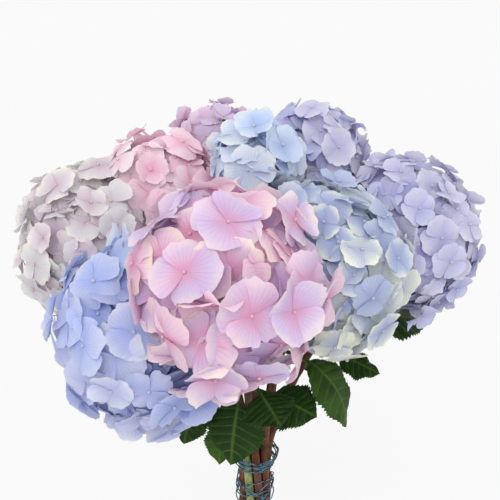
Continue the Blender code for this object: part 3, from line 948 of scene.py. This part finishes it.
@dataclass
class Stem:
    """A cut stem: bark, swollen joints where leaf pairs grew, and a square cut end."""

    index: int
    seed: int
    sides: int = 14
    joint_gap: float = 0.062
    joint_length: float = 0.0035
    swelling: float = 0.16
    thickest: float = 1.14

    def build(self, bark: bpy.types.Material, slot: str) -> None:
        """Makes the stem as a tube whose radius swells at the joints and wanders a little between them.

        Args:
            bark: The stem's material.
            slot: The record's material slot.
        """
        rng = np.random.default_rng(self.seed)
        line = stem_line(self.index)
        travelled = np.concatenate([[0], np.cumsum(np.linalg.norm(np.diff(line, axis=0), axis=1))])
        turn = np.linspace(0, 2 * math.pi, self.sides + 1)
        offset = rng.uniform(0, self.joint_gap)
        from_joint = (travelled - offset + self.joint_gap / 2) % self.joint_gap - self.joint_gap / 2
        joint = np.exp(-((from_joint / self.joint_length) ** 2))
        radii = 0.92 + self.swelling * joint + 0.05 * np.sin(travelled * 160 + rng.uniform(0, 6))
        ripple = 0.05 * np.sin(3 * turn + travelled[:, None] * 60) + 0.03 * np.sin(5 * turn - 2)
        taper = 1.0 - 0.22 * smooth(0.75, 1.0, travelled / travelled[-1])
        radii = STEM_RADIUS * np.minimum((radii * taper)[:, None] + ripple, self.thickest)
        radii[[0, -1]] = POINT
        line[0], line[-1] = line[1] - (line[2] - line[1]) * 0.02, line[-2]
        surface = Surface(f"bark_{HEADS[self.index].name}")
        grid = carried_tube(line, radii, self.sides)
        along = travelled[None, :, None] + 3.1 * self.index
        layer = np.stack(np.broadcast_arrays(along, turn * STEM_RADIUS, joint[None, :, None]), -1)
        surface.add(grid, stem=layer)
        surface.piece(bark, slot, f"stem_{HEADS[self.index].name}")


# ---------------------------------------------------------------- leaves
@dataclass(frozen=True)
class Leaf:
    """A leaf on a stem, as the solid model places it. Angles are in degrees.

    height is above the tie; pitch is the midrib's angle above the horizontal; young makes it lighter;
    fold is the blade's slope down from its midrib; clear is the least gap to a flower head.
    """

    name: str
    stem: str
    height: float
    azimuth: float
    pitch_start: float
    pitch_end: float
    length: float
    width: float
    roll: float = 0.0
    young: float = 0.0
    teeth: int = 17
    tooth_depth: float = 0.13
    side_veins: float = 7.5
    rows: int = 121
    columns: int = 25
    fold: float = 0.16
    quilting: float = 0.0011
    rippling: float = 0.0016
    midrib_width: float = 0.0011
    midrib_height: float = 0.0007
    thickness: float = 0.0005
    clear: float = 0.003
    petiole_radius: float = 0.0016

    @property
    def base(self) -> np.ndarray:
        """Where the petiole leaves its stem's surface.

        Returns:
            The point, just under the bark on the side that the leaf heads to.
        """
        line = stem_line([h.name for h in HEADS].index(self.stem))
        level = np.array([np.interp(TIE[2] + self.height, line[:, 2], line[:, k]) for k in range(3)])
        nearest = int(np.argmin(np.abs(line[:, 2] - level[2])))
        along = unit(line[nearest + 1] - line[nearest - 1])
        leaving = self.heading(0.0)
        away = unit(leaving - along * (leaving @ along))
        return level + away * (STEM_RADIUS - 0.0006)

    def heading(self, travelled: np.ndarray | float) -> np.ndarray:
        """The midrib's direction: its pitch changes evenly from start to end.

        Args:
            travelled: Lengths along the petiole and the midrib.

        Returns:
            Unit vectors, one for each length.
        """
        share = np.asarray(travelled) / (PETIOLE_LENGTH + self.length)
        pitch = np.radians(self.pitch_start + (self.pitch_end - self.pitch_start) * share)
        azimuth = math.radians(self.azimuth)
        return np.stack([np.cos(pitch) * math.cos(azimuth), np.cos(pitch) * math.sin(azimuth),
                         np.sin(pitch)], -1)

    def half_width(self, share: np.ndarray, t: np.ndarray) -> np.ndarray:
        """The toothed half width: a sine of a power of the share along, widest below the middle.

        Args:
            share: How far along the blade, 0 to 1.
            t: How far across, -1 to 1.

        Returns:
            Lengths, never less than the petiole's radius, which thins along the blade.
        """
        saw = (share * self.teeth) % 1.0
        tooth = 1 - self.tooth_depth * saw * np.minimum(1, share * 6)
        outline = 0.5 * self.width * np.sin(math.pi * share**0.72) ** 0.85
        return np.maximum(outline * tooth ** np.abs(t) ** 4, self.petiole_radius * (1 - 0.85 * share))

    def relief(self, share: np.ndarray, t: np.ndarray, span: np.ndarray) -> tuple[np.ndarray, ...]:
        """How the blade rises and falls, and where its veins run.

        The blade folds down from the midrib, is quilted between side veins that sweep forward, ripples
        towards its rim and twists a little along its length.

        Args:
            share: How far along the blade, 0 to 1.
            t: How far across, -1 to 1.
            span: Distance from the midrib.

        Returns:
            The rise in metres, the veins from 0 to 1, and the midrib from 0 to 1.
        """
        rng = np.random.default_rng(letter_sum(self.name))
        blade = smooth(0.02, 0.10, share)
        sweep = np.abs(t) * 1.15 * (0.55 + 0.45 * share)
        from_vein = np.abs((share * self.side_veins - sweep) % 1.0 - 0.5) * 2
        side_vein = np.clip(1 - from_vein * 9, 0, 1) * (1 - 0.8 * np.abs(t) ** 2) * blade
        midrib = np.exp(-((span / self.midrib_width) ** 2)) * (1 - 0.5 * share)
        quilt = self.quilting * np.sin(from_vein * math.pi / 2) * np.abs(t) ** 0.7 * (1 - np.abs(t) ** 6)
        ripple = self.rippling * np.sin(share * 17 + rng.uniform(0, 6) + 1.5 * t) * np.abs(t) ** 2
        drop = self.fold * np.maximum(0, np.abs(span) - self.petiole_radius)
        rise = (quilt + ripple) * blade - drop + 0.0003 * midrib * blade
        twist = np.sin(2.2 * share + rng.uniform(-1, 1)) * t
        rise = rise + 0.05 * self.width * np.sin(math.pi * share) * twist
        return rise, np.maximum(side_vein, midrib * (0.4 + 0.6 * blade)), midrib

    def grids(self) -> tuple[np.ndarray, np.ndarray, np.ndarray]:
        """Works out the two sides of the blade about its middle sheet.

        The middle sheet stands at each point of the midrib's line by the span across and the rise above it,
        and leans forward away from the midrib, so the teeth point to the tip. The sides lie half the
        thickness off it, which falls to nothing at the rim as the root of a circle.

        Returns:
            The upper side, the lower side and the share of vein, as grids.
        """
        travelled = np.linspace(0, PETIOLE_LENGTH + self.length, self.rows)
        step = travelled[1]
        line = self.base + np.concatenate([
            np.zeros((1, 3)), np.cumsum(self.heading(travelled[:-1] + step / 2) * step, axis=0)])
        share = np.clip((travelled - PETIOLE_LENGTH) / self.length, 0, 1)[:, None]
        t = np.linspace(-1, 1, self.columns)[None, :]
        azimuth, roll = math.radians(self.azimuth + 90), math.radians(self.roll)
        across = np.broadcast_to(around(azimuth, 1.0), line.shape)
        tangent = self.heading(travelled)
        wide = across * math.cos(roll) + np.cross(tangent, across) * math.sin(roll)
        up = np.cross(tangent, wide)
        span = self.half_width(share, t) * t
        forward = 0.20 * np.abs(span) * smooth(0.05, 0.4, share) * (1 - share)
        rise, veined, midrib = self.relief(share, t, span)
        middle = line[:, None] + wide[:, None] * span[..., None] + up[:, None] * rise[..., None]
        middle = middle + tangent[:, None] * forward[..., None]
        circle = np.sqrt(np.clip(1 - t**2, 0, 1))
        thick = np.where(share > 0.02, 0.5 * self.thickness * circle**0.5, self.petiole_radius * circle)
        thick = thick + self.midrib_height * midrib * smooth(1.0, 0.0, share)
        offset = up[:, None] * thick[..., None]
        middle = below_heads(middle, self.clear)
        return (middle + offset)[None], (middle - offset)[None], veined[None]

    def build(self, material: bpy.types.Material) -> None:
        """Makes the leaf as two sheets that meet along the toothed rim.

        Args:
            material: The leaf's material.
        """
        top, bottom, veined = self.grids()
        surface = Surface(f"blade_{self.name}")
        for grid, under in ((top, 0.0), (bottom, 1.0)):
            veins = np.stack(np.broadcast_arrays(veined, self.young, under), -1)
            surface.add(grid, flip=not under, veins=veins)
        surface.piece(material, "leaf", self.name)


def letter_sum(name: str) -> int:
    """A number that depends only on a name's letters."""
    return sum((i + 1) * ord(letter) for i, letter in enumerate(name))


def below_heads(grid: np.ndarray, clear: float) -> np.ndarray:
    """Moves each row of a leaf just enough to hang clear beneath every flower head.

    Args:
        grid: Points, (rows, columns, 3).
        clear: The least gap to a head's underside.

    Returns:
        The moved points.
    """
    for head in HEADS:
        offset = grid - head.centre
        inside = np.linalg.norm(offset, axis=-1) < head.radius + clear
        short = UNDERSIDE * head.radius + clear - offset @ -head.axis
        need = np.where(inside, np.maximum(short, 0), 0).max(axis=1)
        kernel = np.hanning(15) / np.hanning(15).sum()
        need = np.maximum(need, np.convolve(np.pad(need, 7, mode="edge"), kernel, mode="valid"))
        grid = grid - head.axis * need[:, None, None]
    return grid


LEAVES = [
    Leaf("leaf_front", "front", 0.136, 252, -40, -84, 0.056, 0.058, young=0.12),
    Leaf("leaf_front_middle", "front", 0.137, 302, -6, -30, 0.034, 0.052),
    Leaf("leaf_front_right", "front", 0.120, 330, 2, -14, 0.044, 0.052, 14),
    Leaf("leaf_right_front", "right_front", 0.142, 336, -2, -96, 0.076, 0.052, young=0.35),
    Leaf("leaf_right_low", "right", 0.120, 345, -6, -26, 0.040, 0.038),
    Leaf("leaf_right", "right", 0.146, 20, -6, -24, 0.078, 0.060),
    Leaf("leaf_back_right", "back_right", 0.140, 64, 4, -52, 0.104, 0.074),
    Leaf("leaf_back_right_low", "back_right", 0.098, 36, -14, -66, 0.082, 0.058, young=0.25),
    Leaf("leaf_back", "back_left", 0.122, 96, 0, -62, 0.100, 0.070),
    Leaf("leaf_back_left", "left_back", 0.138, 138, 2, -48, 0.104, 0.072),
    Leaf("leaf_back_left_low", "left_back", 0.092, 158, -16, -68, 0.080, 0.056),
    Leaf("leaf_left", "left", 0.128, 178, -2, -40, 0.092, 0.066),
    Leaf("leaf_left_front", "left_front", 0.130, 238, -34, -72, 0.038, 0.040),
    Leaf("leaf_left_low", "left_front", 0.096, 262, -45, -70, 0.034, 0.032, young=0.5),
]


# ---------------------------------------------------------------- binding wire
@dataclass(frozen=True)
class BindingWire:
    """A length of wire wound round the bundle, as the solid model winds it."""

    name: str
    level_start: float
    level_end: float
    turns: int
    wave: float
    start: float
    radius: float = 0.0006
    fan: float = 2.2
    lobe: float = 0.0011
    second_strand: tuple[float, float, float] = (2.3, -1.5, 0.0011)

    def line(self, phase: float = 0.0, wave: float = 1.0, outside: float = 0.0) -> np.ndarray:
        """The wire's centreline: a helix whose level wanders up and down one and a half times a turn.

        Its radius follows the spread of the stems, and dips by a lobe's depth between one and the next.

        Args:
            phase: Turns the whole length round the bundle.
            wave: How much more it wanders than the solid's.
            outside: Extra distance from the bundle.

        Returns:
            Points, (n, 3).
        """
        t = np.linspace(0, 1, self.turns * 48 + 1)
        turn = self.start + 2 * math.pi * self.turns * t
        level = self.level_start + (self.level_end - self.level_start) * t
        level = level + wave * self.wave * np.sin(1.5 * turn + phase)
        spread = np.hypot(SLOT_RADIUS, STEM_SPIRAL * level) + STEM_RADIUS
        lobes = self.lobe * (1 - np.cos(OUTER_STEMS * (turn + phase - SLOT_TURN))) / 2
        radius = spread + 2 * STEM_GAP + self.radius - lobes + outside
        radius = radius + self.fan * np.maximum(level, 0) ** 1.5
        turn = turn + phase
        return TIE + np.stack([radius * np.cos(turn), radius * np.sin(turn), level], -1)

    def build(self, material: bpy.types.Material) -> None:
        """Makes two strands that cross, as the doubled wire of a hand-tied bunch does.

        Args:
            material: The wire's material.
        """
        surface = Surface(f"wire_{self.name}")
        for line in (self.line(), self.line(*self.second_strand)):
            radii = np.full((len(line), 1), self.radius)
            radii[[0, -1]] = POINT
            surface.add(carried_tube(line, radii, 7))
        surface.piece(material, "wire", f"binding_wire_{self.name}")


WIRES = [
    BindingWire("upper", 0.019, 0.003, 4, 0.0022, math.pi / 3),
    BindingWire("lower", -0.014, -0.034, 3, 0.0060, math.pi),
]


# ---------------------------------------------------------------- vase
@dataclass(frozen=True)
class Vase:
    """A plain turned stoneware vase, with the solid's profile made smooth."""

    wall: float = 0.007
    floor: float = 0.014
    foot_radius: float = 0.058
    mouth_radius: float = 0.054
    belly_level: float = 0.56
    edge: float = 0.003
    ring_height: float = 0.0062
    ring_depth: float = 0.00018
    segments: int = 128

    def outer(self, z: np.ndarray) -> np.ndarray:
        """Radius of the outside: a quarter sine up from the foot to the belly and another in to the mouth.

        Args:
            z: Heights.

        Returns:
            Radii.
        """
        belly = self.belly_level * RIM
        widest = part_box("vase")[1][0]
        low = np.where(z < belly, self.foot_radius, self.mouth_radius)
        share = np.where(z < belly, z / belly, (RIM - z) / (RIM - belly))
        return low + (widest - low) * np.sin(np.clip(share, 0, 1) * math.pi / 2)

    def profile(self) -> np.ndarray:
        """The wall's outline, from under the foot, up, over the lip, down and in.

        The corner at the foot, the lip and the fillet inside are arcs, and throwing rings run up the outside.

        Returns:
            Radius and height of each point, (n, 2).
        """
        foot = np.linspace(0, math.pi / 2, 8)
        corner = np.stack([self.foot_radius - self.edge + self.edge * np.sin(foot),
                           self.edge * (1 - np.cos(foot))], -1)
        levels = np.linspace(self.edge + 0.001, RIM - self.wall / 2, 70)
        rings = np.sin(levels * 2 * math.pi / self.ring_height) * smooth(0.0, 0.03, levels)
        outside = np.stack([self.outer(levels) + self.ring_depth * rings - 0.0002, levels], -1)
        bend = np.linspace(0.25, math.pi - 0.25, 12)
        middle = self.mouth_radius - self.wall / 2
        lip = np.stack([middle + self.wall / 2 * np.cos(bend), RIM - self.wall / 2
                        + self.wall / 2 * np.sin(bend)], -1)
        inner = np.linspace(RIM - self.wall / 2, self.floor + self.wall, 40)
        inside = np.stack([self.outer(inner) - self.wall, inner], -1)
        fillet = np.linspace(0, math.pi / 2, 8)[1:]
        last = inside[-1]
        hollow = np.stack([last[0] - self.wall * (1 - np.cos(fillet)),
                           last[1] - self.wall * np.sin(fillet)], -1)
        under = np.array([[0.0, 0.0], [0.6 * self.foot_radius, 0.0]])
        return np.concatenate([under, corner, outside, lip, inside, hollow, [[0.0, self.floor]]])

    def build(self, material: bpy.types.Material) -> None:
        """Turns the profile round the axis.

        Args:
            material: The vase's material.
        """
        profile = self.profile()
        turn = np.linspace(0, 2 * math.pi, self.segments + 1)
        radius, height = profile[:, :1], profile[:, 1:]
        grid = np.stack([radius * np.cos(turn), radius * np.sin(turn), height + 0 * turn], -1)[None]
        surface = Surface("vase_body")
        surface.add(grid)
        surface.piece(material, "ceramic", "vase")


# ---------------------------------------------------------------- studio
@dataclass(frozen=True)
class Studio:
    """A pale light table with soft light from all round, and the camera."""

    elevation: float = math.radians(32)
    distance: float = 1.10
    aim_up_view: float = 0.20235
    aim_left: float = 0.00475
    lens: float = 83.4
    glow: float = 0.846
    surroundings: float = 1.10
    floor_half: float = 8.0

    def floor(self) -> None:
        """A pale sheet that glows a little, as a light table does."""
        material, add = new_material("light table")
        add("OutputMaterial", {0: add("BsdfPrincipled", {
            "Base Color": (0.08, 0.08, 0.08, 1), "Roughness": 0.9, "Specular IOR Level": 0.0,
            "Emission Color": (1, 1, 1, 1), "Emission Strength": self.glow})})
        mesh = bpy.data.meshes.new("studio_floor")
        half = self.floor_half
        mesh.from_pydata([(-half, -half, 0), (half, -half, 0), (half, half, 0), (-half, half, 0)], [],
                         [(0, 1, 2, 3)])
        mesh.materials.append(material)
        made = bpy.data.objects.new("studio_floor", mesh)
        bpy.context.scene.collection.objects.link(made)

    def sun(self, name: str, towards: tuple[float, float, float], strength: float, softness: float) -> None:
        """Adds a broad soft light.

        Args:
            name: Its name.
            towards: The way its rays travel.
            strength: Its strength in watts for each square metre.
            softness: Its width in degrees.
        """
        lamp = bpy.data.lights.new(name, "SUN")
        lamp.energy, lamp.angle = strength, math.radians(softness)
        made = bpy.data.objects.new(name, lamp)
        made.rotation_euler = Vector(towards).to_track_quat("-Z", "Y").to_euler()
        bpy.context.scene.collection.objects.link(made)

    def build(self) -> None:
        """Sets up the floor, the lights, the surroundings and the camera."""
        scene = bpy.context.scene
        self.floor()
        world = bpy.data.worlds.new("studio")
        world.use_nodes = True
        backdrop = world.node_tree.nodes["Background"]
        backdrop.inputs[0].default_value = linear("#fafafa")
        backdrop.inputs[1].default_value = self.surroundings
        scene.world = world
        self.sun("key", (0.16, 0.80, -0.95), 1.35, 38)
        self.sun("fill", (-0.10, 1.0, 0.80), 1.05, 60)
        up_view = np.array([0.0, math.sin(self.elevation), math.cos(self.elevation)])
        aim = TIE + up_view * self.aim_up_view - (self.aim_left, 0, 0)
        towards = np.array([0.0, -math.cos(self.elevation), math.sin(self.elevation)])
        lens = bpy.data.cameras.new("camera")
        lens.lens, lens.sensor_width = self.lens, 36.0
        camera = bpy.data.objects.new("camera", lens)
        camera.location = aim + towards * self.distance
        camera.rotation_euler = Vector(-towards).to_track_quat("-Z", "Y").to_euler()
        scene.collection.objects.link(camera)
        scene.camera = camera
        scene.view_settings.view_transform = "Standard"


def main() -> None:
    """Builds every piece in order and reports each."""
    logging.basicConfig(level=logging.INFO, format="%(name)s: %(message)s")
    Studio().build()
    Vase().build(GlazeFinish().material())
    brown = BarkFinish("hydrangea bark", "#432110", "#774525", "#120804").material()
    green = BarkFinish("young hydrangea stem", "#6f7a4a", "#97a06a", "#4c5a30", 0.55).material()
    stalk = BarkFinish("flower stalk", "#b7b79a", "#cfcbb8", "#8f9470", 0.6).material()
    for index, place in enumerate(HEADS):
        young = place.name == "left_front"
        Stem(index, 40 + index).build(green if young else brown, "green_stem" if young else "woody_stem")
    petals = {colouring: colouring.value.material() for colouring in Colouring}
    for place in HEADS:
        FlowerHead(place).build(petals[place.colouring], stalk)
    leaf_green = LeafFinish().material()
    for leaf in LEAVES:
        leaf.build(leaf_green)
    wire = WireFinish().material()
    for length in WIRES:
        length.build(wire)


if __name__ == "__main__":
    main()
